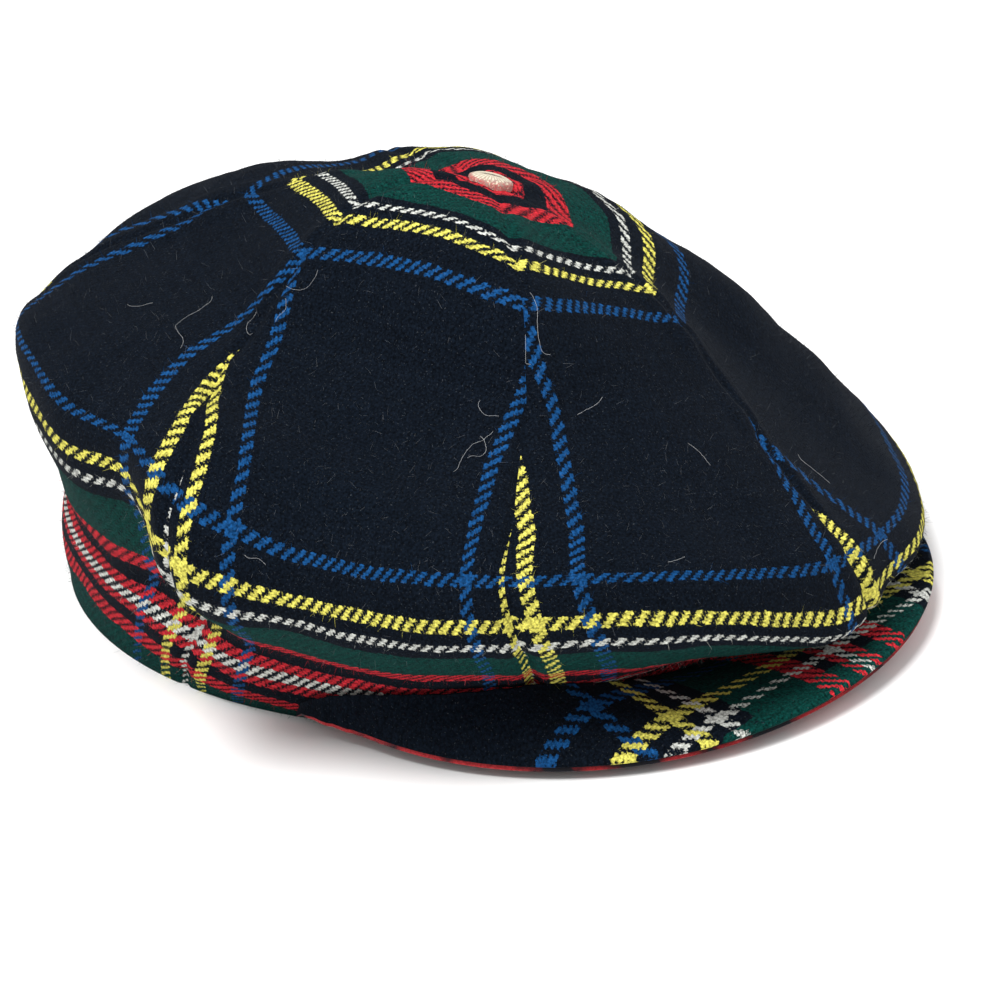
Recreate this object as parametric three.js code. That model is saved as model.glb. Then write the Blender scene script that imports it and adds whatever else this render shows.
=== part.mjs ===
// A baker boy cap in tartan twill: six crown panels that run from the button down to the head opening,
// a small covered button where they meet, and a stiff peak with an upper and an under cover.
// Millimetres, +Z up. The hem lies on z = 0, the front faces -Y and the wearer's right is -X. The origin is at
// the bottom centre of the whole cap, and HEAD_CENTRE is where the head opening's centre lies.
import * as THREE from "three";

// Driving sizes
const HEAD_CENTRE = [12.5, 25.5]; // left and back of the origin
const CLOTH = 1.6; // thickness of a panel's wall
const SEAM_GAP = 0.3; // between neighbouring pieces
const SEAM_BEVEL = 0.5; // how much wider the gap is between the panels' inner faces
const BUTTON_HOLE = 4.0; // where the panels start, measured along the cloth from the crown's centre
const PANEL_LENGTH = 245; // from the crown's centre to the hem, along the cloth
const BUTTON_RADIUS = 6.0;
const BUTTON_HEIGHT = 2.0;
const SHANK_RADIUS = 2.2;
const SHANK_LENGTH = 3.0;
const PEAK_REACH = 43; // how far the peak stands out from the hem at the front
const PEAK_END = 1; // the same at its two ends
const PEAK_HALF_ANGLE = 69; // degrees round the head opening from the front
const PEAK_LEAN = 0.6; // how far its ribs turn sideways, as a share of their direction round the hem
const PEAK_BLUNTNESS = 2.2; // higher keeps its full reach nearer to its ends
const PEAK_TAPER = 0.75; // lower makes it fall off more steeply there
const PEAK_SEAT_HEIGHT = 2.6; // middle of the peak's thickness at the hem
const PEAK_RISE = 4; // how much higher its outer edge is at the front
const PEAK_ROLL = 6; // how much lower again that edge lies toward the wearer's right, and higher to the left
const PEAK_ARCH = 15; // how far its hem side arches up over the wearer's right temple
const ARCH_FALL = 1.3; // how soon the arch dies away toward the outer edge
const ARCH_FOOT = 0.05; // where the arch starts, as a share of the way from the front to the right end
const ARCH_TOP = 0.6; // and where it is full
const ARCH_EASE = 0.6; // how much more room it leaves there for the panels' bulge
const PEAK_CAMBER = 2.0; // its swell between hem and outer edge
const PEAK_COVER = 2.2; // board and upper cover together
const PEAK_UNDER = 1.1; // under cover
const PEAK_INSET = 0.5; // how far the under cover stops short of the upper one
const PEAK_TIP = 0.4; // thickness of the peak's two ends, as a share of its thickness at the front

// Divisions of the faceted walls
const PANEL_COLUMNS = 11;
const COLUMN_BIAS = 0.5; // how strongly a panel's columns crowd toward its seams, from 0 to 1
const PANEL_ROWS = 27;
const PEAK_COLUMNS = 32;
const PEAK_ROWS = 5;
const BUTTON_SIDES = 24;

// The crown's sections. `along` is the distance from the crown's centre along the cloth. Each section is an
// oval of half_width by half_depth about a centre (left and back of the head's centre), with its height in the
// middle of each panel. `puff` is how far, in percent, a panel's middle swells and its seams draw in.
const SECTIONS = [
  // along, left, back, half_width, half_depth, front, right_front, right_back, back, left_back, left_front, puff
  [0, -3, -42, 0, 0, 116, 116, 116, 116, 116, 116, 0],
  [21, -3, -39, 18, 22, 110, 119, 121, 110, 113, 104, -6],
  [42, -4, -36, 33, 41, 101, 119, 118, 104, 108, 90, -7],
  [64, -5, -33, 46, 57, 92, 110, 107, 100, 100, 73, -6],
  [87, -7, -31, 60, 73, 76, 92, 98, 93, 88, 57, -3],
  [107, -11, -29, 75, 92, 64, 82, 95, 80, 74, 42, -2],
  [128, -13, -32, 92, 106, 52, 76, 93, 67, 60, 30, -1],
  [150, -12, -34, 106, 112, 44, 62, 89, 58, 46, 21, 0],
  [168, -9, -34, 110, 112, 28, 47, 75, 52, 34, 15, 1],
  [185, -6, -29, 103, 106, 19, 34, 56, 43, 25, 12, 2],
  [202, -5, -20, 96, 104, 14, 23, 36, 33, 20, 10, 2],
  [222, -2, -9, 91, 103, 9, 7, 18, 18, 11, 5, 0],
  [245, 0, -4, 89, 103, 0, 0, 0, 0, 0, 0, 0],
];

// Each seam's direction in degrees from the front toward the wearer's right: at the crown, rim and hem.
const SEAMS = {
  left_back: [-150, -150, -150],
  left: [-90, -88, -90],
  left_front: [-23, -12, -31],
  right_front: [37, 41, 32],
  right: [97, 81, 89],
  right_back: [150, 143, 148],
};
const CROWN_END = 64; // seams keep their crown direction up to here
const RIM = 150; // and have their rim direction here

// The panels, each between two seams in the order that they go round.
const PANELS = {
  panel_front: ["left_front", "right_front"],
  panel_right_front: ["right_front", "right"],
  panel_right_back: ["right", "right_back"],
  panel_back: ["right_back", "left_back"],
  panel_left_back: ["left_back", "left"],
  panel_left_front: ["left", "left_front"],
};

// Folds and dents: where they lie, how far they reach, and how far they move the cloth out and up (minus is in
// or down).
const FOLDS = [
  // around (deg), along, reach_around (deg), reach_along, out, up
  [291, 98, 24, 57, 19, 0], // the full top of the puff on the wearer's left
  [172, 90, 27, 42, 10, 0], // the full top at the back
  [38, 82, 22, 30, 7, -6], // the full front on the wearer's right
  [40, 158, 22, 26, 0, 4], // the rim lifted over the wearer's right temple
  [23, 176, 14, 31, 0, 4.6], // and beside it
  [-7, 170, 12, 25, 0, -6.5], // the rim hanging lower beside the left front seam
  [81, 160, 9, 32, 11, 2], // the fold of the puff that hangs over beside the right seam
  [92, 161, 9, 37, -4, 7], // the crease behind it
  [105, 203, 45, 9, -3, 0], // the crease under the rim on the wearer's right
];

const twill = new THREE.MeshStandardMaterial({ color: 0x171b22, roughness: 0.95, metalness: 0 });
const buttonCloth = new THREE.MeshStandardMaterial({ color: 0xcfc3ab, roughness: 0.9, metalness: 0 });
const underCloth = new THREE.MeshStandardMaterial({ color: 0x7c2226, roughness: 0.95, metalness: 0 });

const radians = THREE.MathUtils.degToRad;
const lerp = THREE.MathUtils.lerp;

// The sections' numbers at any distance along the cloth: cubic between rows, with slopes from their neighbours.
function section(along) {
  const last = SECTIONS.length - 1;
  const at = THREE.MathUtils.clamp(along, 0, PANEL_LENGTH);
  let row = 0;
  while (row < last - 1 && SECTIONS[row + 1][0] <= at) row++;
  const step = (i) => SECTIONS[i + 1][0] - SECTIONS[i][0];
  const rise = (i, k) => (SECTIONS[i + 1][k] - SECTIONS[i][k]) / step(i);
  const slope = (i, k) => {
    if (i === 0) return rise(0, k);
    if (i === last) return rise(last - 1, k);
    return (rise(i - 1, k) + rise(i, k)) / 2;
  };
  const h = step(row);
  const t = (at - SECTIONS[row][0]) / h;
  return SECTIONS[row].map(
    (value, k) =>
      (2 * t ** 3 - 3 * t ** 2 + 1) * value +
      (t ** 3 - 2 * t ** 2 + t) * h * slope(row, k) +
      (3 * t ** 2 - 2 * t ** 3) * SECTIONS[row + 1][k] +
      (t ** 3 - t ** 2) * h * slope(row + 1, k),
  );
}

// Height of a section in a direction, smooth through its six heights (a Catmull-Rom curve round the section).
function heightAt(heights, angle) {
  const turn = THREE.MathUtils.euclideanModulo(angle / radians(60), 6);
  const i = Math.floor(turn);
  const t = turn - i;
  const [a, b, c, d] = [-1, 0, 1, 2].map((k) => heights[(i + k + 6) % 6]);
  return b + 0.5 * t * (c - a + t * (2 * a - 5 * b + 4 * c - d + t * (3 * (b - c) + d - a)));
}

function seamAngle(name, along) {
  const [crown, rim, hem] = SEAMS[name];
  const toRim = THREE.MathUtils.smoothstep(along, CROWN_END, RIM);
  const toHem = THREE.MathUtils.smoothstep(along, RIM, PANEL_LENGTH);
  return crown + (rim - crown) * toRim + (hem - rim) * toHem;
}

// Direction of a place on a panel. `across` runs from -1 at one seam to 1 at the next.
function panelAngle([from, to], across, along) {
  const start = seamAngle(from, along);
  const width = THREE.MathUtils.euclideanModulo(seamAngle(to, along) - start, 360);
  return radians(start + (width * (across + 1)) / 2);
}

// A place on the crown before its folds. Without its swell, the crown has no crease at the seams.
function plainPoint(seams, across, along, swelling = 1) {
  const angle = panelAngle(seams, across, along);
  const [, left, back, halfWidth, halfDepth, ...rest] = section(along);
  const puff = rest.pop();
  const swell = 1 + (swelling * puff * (1 - 2 * across ** 2)) / 100;
  return new THREE.Vector3(
    left - halfWidth * swell * Math.sin(angle),
    back - halfDepth * swell * Math.cos(angle),
    heightAt(rest, angle),
  );
}

// How far the folds move a place out of the cloth and up.
function foldShift(angle, along) {
  const shift = { out: 0, up: 0 };
  for (const [around, at, reachAround, reachAlong, out, up] of FOLDS) {
    const turn = THREE.MathUtils.radToDeg(angle) - around;
    const off = THREE.MathUtils.euclideanModulo(turn + 180, 360) - 180;
    const share = Math.exp(-((off / reachAround) ** 2) - ((along - at) / reachAlong) ** 2);
    shift.out += out * share;
    shift.up += up * share;
  }
  return shift;
}

// The way out of a face, from four places round a point. The cloth's swell is left out, as its creases at the
// seams would turn the way.
function wayOut(pointAt, seams, across, along) {
  const step = 0.01;
  const reach = 0.2;
  const place = (sideways, down) => pointAt(seams, across + sideways, along + down, 0);
  const left = place(step, 0).sub(place(-step, 0));
  const down = place(0, reach).sub(place(0, -reach));
  return left.cross(down).normalize();
}

// A panel's outer face.
function crownPoint(seams, across, along, swelling = 1) {
  const point = plainPoint(seams, across, along, swelling);
  if (along === PANEL_LENGTH) return point;
  const { out, up } = foldShift(panelAngle(seams, across, along), along);
  point.addScaledVector(wayOut(plainPoint, seams, across, along), out);
  point.z += up;
  return point;
}

// A panel's inner face, one cloth thickness in. The hem is cut level, so both faces end on z = 0.
function liningPoint(seams, across, along) {
  const way = wayOut(crownPoint, seams, across, along);
  if (along === PANEL_LENGTH) way.setZ(0).normalize();
  return crownPoint(seams, across, along).addScaledVector(way, -CLOTH);
}

// The crown's outer face in a direction given in degrees from the front.
function crownAt(turn, along) {
  for (const [from, to] of Object.values(PANELS)) {
    const start = seamAngle(from, along);
    const width = THREE.MathUtils.euclideanModulo(seamAngle(to, along) - start, 360);
    const into = THREE.MathUtils.euclideanModulo(turn - start, 360);
    if (into <= width) return crownPoint([from, to], (2 * into) / width - 1, along);
  }
}

// A closed wall between two faces that are given as grids of columns by rows. From outside, a face's columns
// run to the left as its rows run down.
function wall(outerAt, innerAt, columns, rows) {
  const positions = [];
  const faces = [];
  const sheet = (columns + 1) * (rows + 1);
  const outer = (i, j) => j * (columns + 1) + i;
  const inner = (i, j) => sheet + outer(i, j);
  const quad = (a, b, c, d) => faces.push(a, b, c, a, c, d);
  for (const pointAt of [outerAt, innerAt]) {
    for (let j = 0; j <= rows; j++) {
      for (let i = 0; i <= columns; i++) positions.push(...pointAt(i / columns, j / rows).toArray());
    }
  }
  for (let j = 0; j < rows; j++) {
    for (let i = 0; i < columns; i++) {
      quad(outer(i, j), outer(i + 1, j), outer(i + 1, j + 1), outer(i, j + 1));
      quad(inner(i, j), inner(i, j + 1), inner(i + 1, j + 1), inner(i + 1, j));
    }
    quad(outer(0, j), outer(0, j + 1), inner(0, j + 1), inner(0, j));
    quad(outer(columns, j), inner(columns, j), inner(columns, j + 1), outer(columns, j + 1));
  }
  for (let i = 0; i < columns; i++) {
    quad(outer(i, 0), inner(i, 0), inner(i + 1, 0), outer(i + 1, 0));
    quad(outer(i, rows), outer(i + 1, rows), inner(i + 1, rows), inner(i, rows));
  }
  const geometry = new THREE.BufferGeometry();
  geometry.setAttribute("position", new THREE.Float32BufferAttribute(positions, 3));
  geometry.setIndex(faces);
  geometry.computeVertexNormals();
  return geometry;
}

function piece(name, geometry, material) {
  const mesh = new THREE.Mesh(geometry, material);
  mesh.name = name;
  return mesh;
}

// A crown panel, drawn in from both seams by half the seam gap.
function crownPanel(name, seams) {
  const place = (pointAt, gap) => (u, v) => {
    const along = lerp(BUTTON_HOLE, PANEL_LENGTH, v);
    const width = plainPoint(seams, -1, along).distanceTo(plainPoint(seams, 1, along));
    const across = lerp(2 * u - 1, Math.sin((u - 0.5) * Math.PI), COLUMN_BIAS);
    return pointAt(seams, across * (1 - gap / width), along);
  };
  const outer = place(crownPoint, SEAM_GAP);
  const inner = place(liningPoint, SEAM_GAP + SEAM_BEVEL);
  return piece(name, wall(outer, inner, PANEL_COLUMNS, PANEL_ROWS), twill);
}

// The covered button, seated just above the panels' upper ends and square to the crown there.
function coveredButton() {
  const centre = new THREE.Vector3(...SECTIONS[0].slice(1, 3), SECTIONS[0][5]);
  const axis = new THREE.Vector3();
  const rim = [];
  for (const seams of Object.values(PANELS)) {
    for (const across of [-1, 0]) {
      axis.add(wayOut(plainPoint, seams, across, BUTTON_HOLE));
      rim.push(crownPoint(seams, across, BUTTON_HOLE));
    }
  }
  axis.normalize();
  const seat = Math.max(...rim.map((point) => point.sub(centre).dot(axis))) + SEAM_GAP;
  const profile = [
    [0, -SHANK_LENGTH],
    [SHANK_RADIUS, -SHANK_LENGTH],
    [SHANK_RADIUS, 0],
    [BUTTON_RADIUS * 0.85, 0],
    [BUTTON_RADIUS, BUTTON_HEIGHT * 0.25],
    [BUTTON_RADIUS * 0.96, BUTTON_HEIGHT * 0.55],
    [BUTTON_RADIUS * 0.75, BUTTON_HEIGHT * 0.82],
    [BUTTON_RADIUS * 0.4, BUTTON_HEIGHT * 0.96],
    [0, BUTTON_HEIGHT],
  ].map(([radius, height]) => new THREE.Vector2(radius, height));
  const button = piece("button", new THREE.LatheGeometry(profile, BUTTON_SIDES), buttonCloth);
  button.quaternion.setFromUnitVectors(new THREE.Vector3(0, 1, 0), axis);
  button.position.copy(centre).addScaledVector(axis, seat);
  return button;
}

// How far the peak's hem side arches up, `side` of the way from the front to the wearer's right end.
function peakArch(side) {
  const ends = Math.sqrt(Math.max(0, 1 - side ** 8));
  return PEAK_ARCH * THREE.MathUtils.smoothstep(side, ARCH_FOOT, ARCH_TOP) * ends;
}

// How far the panels swell out past the hem, below the peak's upper face.
function peakSeat(turn, hem, way, arch) {
  const top = PEAK_SEAT_HEIGHT + arch + PEAK_COVER + SEAM_GAP;
  let reach = 0;
  for (let along = PANEL_LENGTH; along > RIM; along--) {
    const point = crownAt(turn, along);
    if (point.z < top) reach = Math.max(reach, point.sub(hem).dot(way));
  }
  return reach + SEAM_GAP + (ARCH_EASE * arch) / PEAK_ARCH;
}

// A place on the peak, `side` from -1 to 1 and `out` from 0 at the hem to 1 at the outer edge.
function peakPoint(side, out, inset, height) {
  const turn = PEAK_HALF_ANGLE * side;
  const hem = crownAt(turn, PANEL_LENGTH);
  const lean = radians(turn) * PEAK_LEAN;
  const way = new THREE.Vector3(-Math.sin(lean), -Math.cos(lean), 0);
  const seat = peakSeat(turn, hem, way, peakArch(side));
  const fade = Math.max(0, 1 - Math.abs(side) ** PEAK_BLUNTNESS) ** PEAK_TAPER;
  const reach = PEAK_END + (PEAK_REACH - PEAK_END) * fade;
  const swell = PEAK_CAMBER * Math.sin(Math.PI * out) * (1 - side ** 2);
  const tilt = (PEAK_RISE - PEAK_ROLL * side) * fade * out;
  const arch = peakArch(side) * (1 - out * fade ** 0.5) ** ARCH_FALL;
  const rise = PEAK_SEAT_HEIGHT + tilt + swell + arch + height * lerp(PEAK_TIP, 1, fade ** 0.5);
  return hem.addScaledVector(way, lerp(seat, Math.max(reach, seat + PEAK_END) - inset, out)).setZ(rise);
}

// One layer of the peak between two heights about the middle of its thickness.
function peakLayer(name, top, bottom, inset, material) {
  const face = (height) => (u, v) => peakPoint(2 * u - 1, v, inset, height);
  return piece(name, wall(face(top), face(bottom), PEAK_COLUMNS, PEAK_ROWS), material);
}

const cap = new THREE.Group();
for (const [name, seams] of Object.entries(PANELS)) cap.add(crownPanel(name, seams));
cap.add(coveredButton());
const thickness = PEAK_COVER + SEAM_GAP + PEAK_UNDER;
cap.add(peakLayer("peak", thickness / 2, thickness / 2 - PEAK_COVER, 0, twill));
cap.add(peakLayer("peak_under", PEAK_UNDER - thickness / 2, -thickness / 2, PEAK_INSET, underCloth));
for (const mesh of cap.children) mesh.position.add(new THREE.Vector3(...HEAD_CENTRE, 0));

export default cap;
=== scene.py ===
"""A baker boy cap in tartan twill, lying on a pale floor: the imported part's cloth, nap and stray hairs.

Sizes are in millimetres unless a name says otherwise, and MM turns them into the frame's metres.
"""

import math

import bpy
import numpy as np
from mathutils import Matrix, Vector


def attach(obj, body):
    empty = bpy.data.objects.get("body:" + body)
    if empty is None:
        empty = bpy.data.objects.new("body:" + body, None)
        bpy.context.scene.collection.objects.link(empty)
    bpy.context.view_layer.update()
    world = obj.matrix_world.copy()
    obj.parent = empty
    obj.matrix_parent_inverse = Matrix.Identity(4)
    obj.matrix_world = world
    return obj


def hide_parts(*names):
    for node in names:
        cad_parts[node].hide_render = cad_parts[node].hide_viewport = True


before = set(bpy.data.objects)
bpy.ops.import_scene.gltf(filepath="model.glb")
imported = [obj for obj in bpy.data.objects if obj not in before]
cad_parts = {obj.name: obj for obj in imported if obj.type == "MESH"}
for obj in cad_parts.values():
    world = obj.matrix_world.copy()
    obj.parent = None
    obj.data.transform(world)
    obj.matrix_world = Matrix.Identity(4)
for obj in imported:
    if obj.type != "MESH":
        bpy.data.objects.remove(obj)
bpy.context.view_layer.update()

MM = 0.001

# ---------------------------------------------------------------- the cap's form, as in the part's source
HEAD_CENTRE = np.array([12.5, 25.5, 0.0])
CLOTH = 1.6
PANEL_LENGTH = 245
CROWN_END = 64
RIM = 150

SECTIONS = np.array(
    [
        # along, left, back, half_width, half_depth,
        # front, right_front, right_back, back, left_back, left_front (heights), puff
        (0, -3, -42, 0, 0, 116, 116, 116, 116, 116, 116, 0),
        (21, -3, -39, 18, 22, 110, 119, 121, 110, 113, 104, -6),
        (42, -4, -36, 33, 41, 101, 119, 118, 104, 108, 90, -7),
        (64, -5, -33, 46, 57, 92, 110, 107, 100, 100, 73, -6),
        (87, -7, -31, 60, 73, 76, 92, 98, 93, 88, 57, -3),
        (107, -11, -29, 75, 92, 64, 82, 95, 80, 74, 42, -2),
        (128, -13, -32, 92, 106, 52, 76, 93, 67, 60, 30, -1),
        (150, -12, -34, 106, 112, 44, 62, 89, 58, 46, 21, 0),
        (168, -9, -34, 110, 112, 28, 47, 75, 52, 34, 15, 1),
        (185, -6, -29, 103, 106, 19, 34, 56, 43, 25, 12, 2),
        (202, -5, -20, 96, 104, 14, 23, 36, 33, 20, 10, 2),
        (222, -2, -9, 91, 103, 9, 7, 18, 18, 11, 5, 0),
        (245, 0, -4, 89, 103, 0, 0, 0, 0, 0, 0, 0),
    ],
    float,
)

# Each seam's direction in degrees from the front toward the wearer's right: at the crown, rim and hem.
SEAMS = {
    "left_back": (-150, -150, -150),
    "left": (-90, -88, -90),
    "left_front": (-23, -12, -31),
    "right_front": (37, 41, 32),
    "right": (97, 81, 89),
    "right_back": (150, 143, 148),
}

# Each panel's seams in the order that they go round, and how many threads more or fewer its cloth has
# at the first and at the second: above the rim, and below it.
PANELS = {
    "panel_front": ("left_front", "right_front", (-9, -0.5), (-6, -0.5)),
    "panel_right_front": ("right_front", "right", (-2.5, 0), (-2.5, 0)),
    "panel_right_back": ("right", "right_back", (4, -4), (4, -4)),
    "panel_back": ("right_back", "left_back", (0, 0), (0, 0)),
    "panel_left_back": ("left_back", "left", (0, 0), (0, 0)),
    "panel_left_front": ("left", "left_front", (0, -12), (0, -4)),
}

# Folds and dents: around (deg), along, reach_around (deg), reach_along, out, up (minus is in or down).
FOLDS = (
    (291, 98, 24, 57, 19, 0),
    (172, 90, 27, 42, 10, 0),
    (38, 82, 22, 30, 7, -6),
    (40, 158, 22, 26, 0, 4),
    (23, 176, 14, 31, 0, 4.6),
    (-7, 170, 12, 25, 0, -6.5),
    (81, 160, 9, 32, 11, 2),
    (92, 161, 9, 37, -4, 7),
    (105, 203, 45, 9, -3, 0),
)

# ---------------------------------------------------------------- the peak, as in the part's source
SEAM_GAP = 0.3
PEAK_REACH = 43
PEAK_END = 1
PEAK_HALF_ANGLE = 69
PEAK_LEAN = 0.6
PEAK_BLUNTNESS = 2.2
PEAK_TAPER = 0.75
PEAK_SEAT_HEIGHT = 2.6
PEAK_RISE = 4
PEAK_ROLL = 6
PEAK_ARCH = 15
ARCH_FALL = 1.3
ARCH_FOOT = 0.05
ARCH_TOP = 0.6
ARCH_EASE = 0.6
PEAK_CAMBER = 2.0
PEAK_COVER = 2.2
PEAK_UNDER = 1.1
PEAK_INSET = 0.5
PEAK_TIP = 0.4
EDGE_WIDTH = 1.2  # how far in from a layer's rim it is rounded
EDGE_ROUNDING = 0.47  # share of a layer's thickness that its rim loses above and below
UNDER_CLOTH_INSET = PEAK_INSET * 1.8  # its under cloth ends a little farther in than the part's

# Where the peak's warp threads lie: to the left of the head's middle (mm), and the thread's number.
PEAK_WARP = np.array(
    [(-95, -3), (-38, 55), (-30, 62.5), (-4, 84), (9, 102), (22, 118), (43, 143), (95, 196)],
    dtype=float,
)
PEAK_BLACK = -72.0  # the middle of its black ground, in front of the head's middle

# ---------------------------------------------------------------- the cloth
WEFT_PITCH = 1.03
WARP_PITCH = 1.05

# The sett from the middle of its black ground to the middle of its white line: threads, colour.
SETT = (
    (40, "black"),
    (4, "blue"),
    (9, "black"),
    (4, "yellow"),
    (4, "black"),
    (3, "white"),
    (4, "black"),
    (16, "green"),
    (8, "red"),
    (6, "black"),
    (4, "red"),
    (2, "white"),
)
HALF_SETT = sum(threads for threads, _ in SETT)

# Each dye, and how far its fibres spread over their neighbours' (the fourth number).
DYES = {
    "black": (0.0027, 0.0046, 0.0082, 0.0),
    "blue": (0.0055, 0.044, 0.135, 0.3),
    "yellow": (0.50, 0.46, 0.085, 0.4),
    "white": (0.42, 0.43, 0.40, 0.35),
    "green": (0.0020, 0.030, 0.025, 0.9),
    "red": (0.40, 0.018, 0.026, 0.55),
}

# How a panel is cut: distances from the crown's centre and half its width at each, both in threads.
PANEL_CUT = np.array(
    [(0, 0), (62, 35.8), (84, 44), (104, 49.5), (125, 53.5), (146, 55), (170, 56), (238, 56)], float
)

CENTRE_DRAW = 4.5  # threads that are gathered under the button
CENTRE_REACH = (15, 45)  # how far from the crown's centre that pulls on the weft
RIM_BAND = (100, 130)  # where a panel's cut passes from above the rim to below it
GROUND_LOSS = 4  # threads that each half of the black ground lacks across a panel
GROUND_REACH = 20  # how many threads from its middle that loss is spread over

CLOTH_START = 2  # where a panel's cloth starts, under the button
COLUMNS = 72
ROWS = 180

NAP_SEED = 11
NAP_FIBRES = 7000
NAP_ACROSS = 0.99  # how near the seams the fibres stand
NAP_EVEN = 120  # fibres that fall past this are spread again, evenly from NAP_EVEN_START to the hem
NAP_EVEN_START = 100
NAP_LEAN = (0.1, 0.9)  # least and most that a fibre's way is drawn out of the cloth
NAP_LENGTHS = (0.8, 2.6)
FIBRE_SAG = (-0.1, 0.35)  # least and most that a fibre's first half bends out of the cloth
FIBRE_TIP_SAG = 0.4  # share of that bend that is left at the tip
FIBRE_TIP = 0.3  # the tip's width, as a share of the root's
FIBRE_HALF_WIDTH = 0.022
FIBRE_FLOOR = 0.1  # no fibre comes nearer than this to the floor


def section(along):
    """The sections' numbers at distances along the cloth: cubic between rows, as in the part's source."""
    at, values = SECTIONS[:, 0], SECTIONS[:, 1:]
    rises = np.diff(values, axis=0) / np.diff(at)[:, None]
    slopes = np.vstack([rises[:1], (rises[:-1] + rises[1:]) / 2, rises[-1:]])
    along = np.clip(along, at[0], at[-1])
    row = np.clip(np.searchsorted(at, along, side="right") - 1, 0, len(at) - 2)
    step = (at[row + 1] - at[row])[..., None]
    t = (along - at[row])[..., None] / step
    return (
        (2 * t**3 - 3 * t**2 + 1) * values[row]
        + (t**3 - 2 * t**2 + t) * step * slopes[row]
        + (3 * t**2 - 2 * t**3) * values[row + 1]
        + (t**3 - t**2) * step * slopes[row + 1]
    )


def height_at(heights, angle):
    """Height in a direction, smooth through a section's six heights."""
    turn = np.mod(angle / math.radians(60), 6)
    first = np.floor(turn).astype(int)
    t = turn - first

    def near(k):
        return np.take_along_axis(heights, np.mod(first + k, 6)[..., None], -1)[..., 0]

    a, b, c, d = near(-1), near(0), near(1), near(2)
    return b + 0.5 * t * (c - a + t * (2 * a - 5 * b + 4 * c - d + t * (3 * (b - c) + d - a)))


def smoothstep(value, low, high):
    """A smooth rise from 0 at `low` to 1 at `high`."""
    t = np.clip((value - low) / (high - low), 0, 1)
    return t * t * (3 - 2 * t)


def seam_angle(name, along):
    """A seam's direction in degrees at distances along the cloth."""
    crown, rim, hem = SEAMS[name]
    to_rim = smoothstep(along, CROWN_END, RIM)
    to_hem = smoothstep(along, RIM, PANEL_LENGTH)
    return crown + (rim - crown) * to_rim + (hem - rim) * to_hem


def panel_angle(panel, across, along):
    """Direction in radians of a place on a panel; `across` runs from -1 at one seam to 1 at the next."""
    start = seam_angle(PANELS[panel][0], along)
    width = np.mod(seam_angle(PANELS[panel][1], along) - start, 360)
    return np.radians(start + width * (across + 1) / 2)


def plain_point(panel, across, along, swelling=1):
    """A place on the crown before its folds."""
    angle = panel_angle(panel, across, along)
    rows = section(along)
    left, back, half_width, half_depth = np.moveaxis(rows[..., :4], -1, 0)
    swell = 1 + swelling * rows[..., 10] * (1 - 2 * across**2) / 100
    x = left - half_width * swell * np.sin(angle)
    y = back - half_depth * swell * np.cos(angle)
    return np.stack([x, y, height_at(rows[..., 4:10], angle)], -1)


def unit(vectors):
    """The vectors at a length of one."""
    return vectors / np.maximum(np.linalg.norm(vectors, axis=-1, keepdims=True), 1e-9)


def way_out(point_at, panel, across, along):
    """The way out of a face, from four places round each point, without the creases at the seams."""
    step = 0.01
    reach = 0.2
    left = point_at(panel, across + step, along, 0) - point_at(panel, across - step, along, 0)
    down = point_at(panel, across, along + reach, 0) - point_at(panel, across, along - reach, 0)
    return unit(np.cross(left, down))


def fold_shift(angle, along):
    """How far the folds move places out of the cloth and up."""
    out, up = np.zeros((2,) + np.broadcast(angle, along).shape)
    for around, at, reach_around, reach_along, fold_out, fold_up in FOLDS:
        off = np.mod(np.degrees(angle) - around + 180, 360) - 180
        share = np.exp(-((off / reach_around) ** 2) - ((along - at) / reach_along) ** 2)
        out = out + fold_out * share
        up = up + fold_up * share
    return out, up


def crown_point(panel, across, along, swelling=1):
    """A panel's outer face, before its seams and creases."""
    point = plain_point(panel, across, along, swelling)
    out, up = fold_shift(panel_angle(panel, across, along), along)
    free = along < PANEL_LENGTH
    point = point + way_out(plain_point, panel, across, along) * np.where(free, out, 0)[..., None]
    return point + np.where(free, up, 0)[..., None] * np.array((0, 0, 1))


# ---------------------------------------------------------------- seams, puckers and creases
SEAM_DEPTH = 0.9
SEAM_WIDTH = 1.3
SEAM_START = 0.45  # share of its depth that a seam has at the crown's centre
SEAM_DEEPENS = (20, 70)  # where along the cloth it gets its full depth

# The seam allowance that lies under the cloth lifts it between these distances from a seam.
ALLOWANCE_RISE = 0.35
ALLOWANCE_NEAR = (1, 3)
ALLOWANCE_FAR = (5, 8)

# The cloth is smooth at the crown's centre and at the hem, and uneven between them.
CENTRE_EASE = 40
HEM_EASE = 12
PUCKER_REACH = 7  # how far from a seam its puckers reach

# Puckers and unevenness: height, length of the waves, seed, how many waves.
PUCKERS = (0.45, 16, 5, 10)
UNEVENNESS = (
    (0.7, 60, 1, 10),
    (0.3, 25, 2, 10),
    (0.07, 6, 3, 16),
)


def waves(points, length, seed, count):
    """Smooth, seeded unevenness of about -1 to 1, in waves of about this length."""
    rng = np.random.default_rng(seed)
    total = np.zeros(points.shape[:-1])
    for _ in range(count):
        way = unit(rng.normal(size=3))
        turn = 2 * math.pi / (length * rng.uniform(0.7, 1.5))
        total += np.cos(points @ way * turn + rng.uniform(0, 2 * math.pi))
    return total / math.sqrt(count)


def seam_distance(panel, across, along):
    """How far a place is from its nearer seam."""
    first = plain_point(panel, -1.0 + 0 * across, along)
    second = plain_point(panel, 1.0 + 0 * across, along)
    width = np.linalg.norm(first - second, axis=-1)
    return (1 - np.abs(across)) * width / 2


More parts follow.
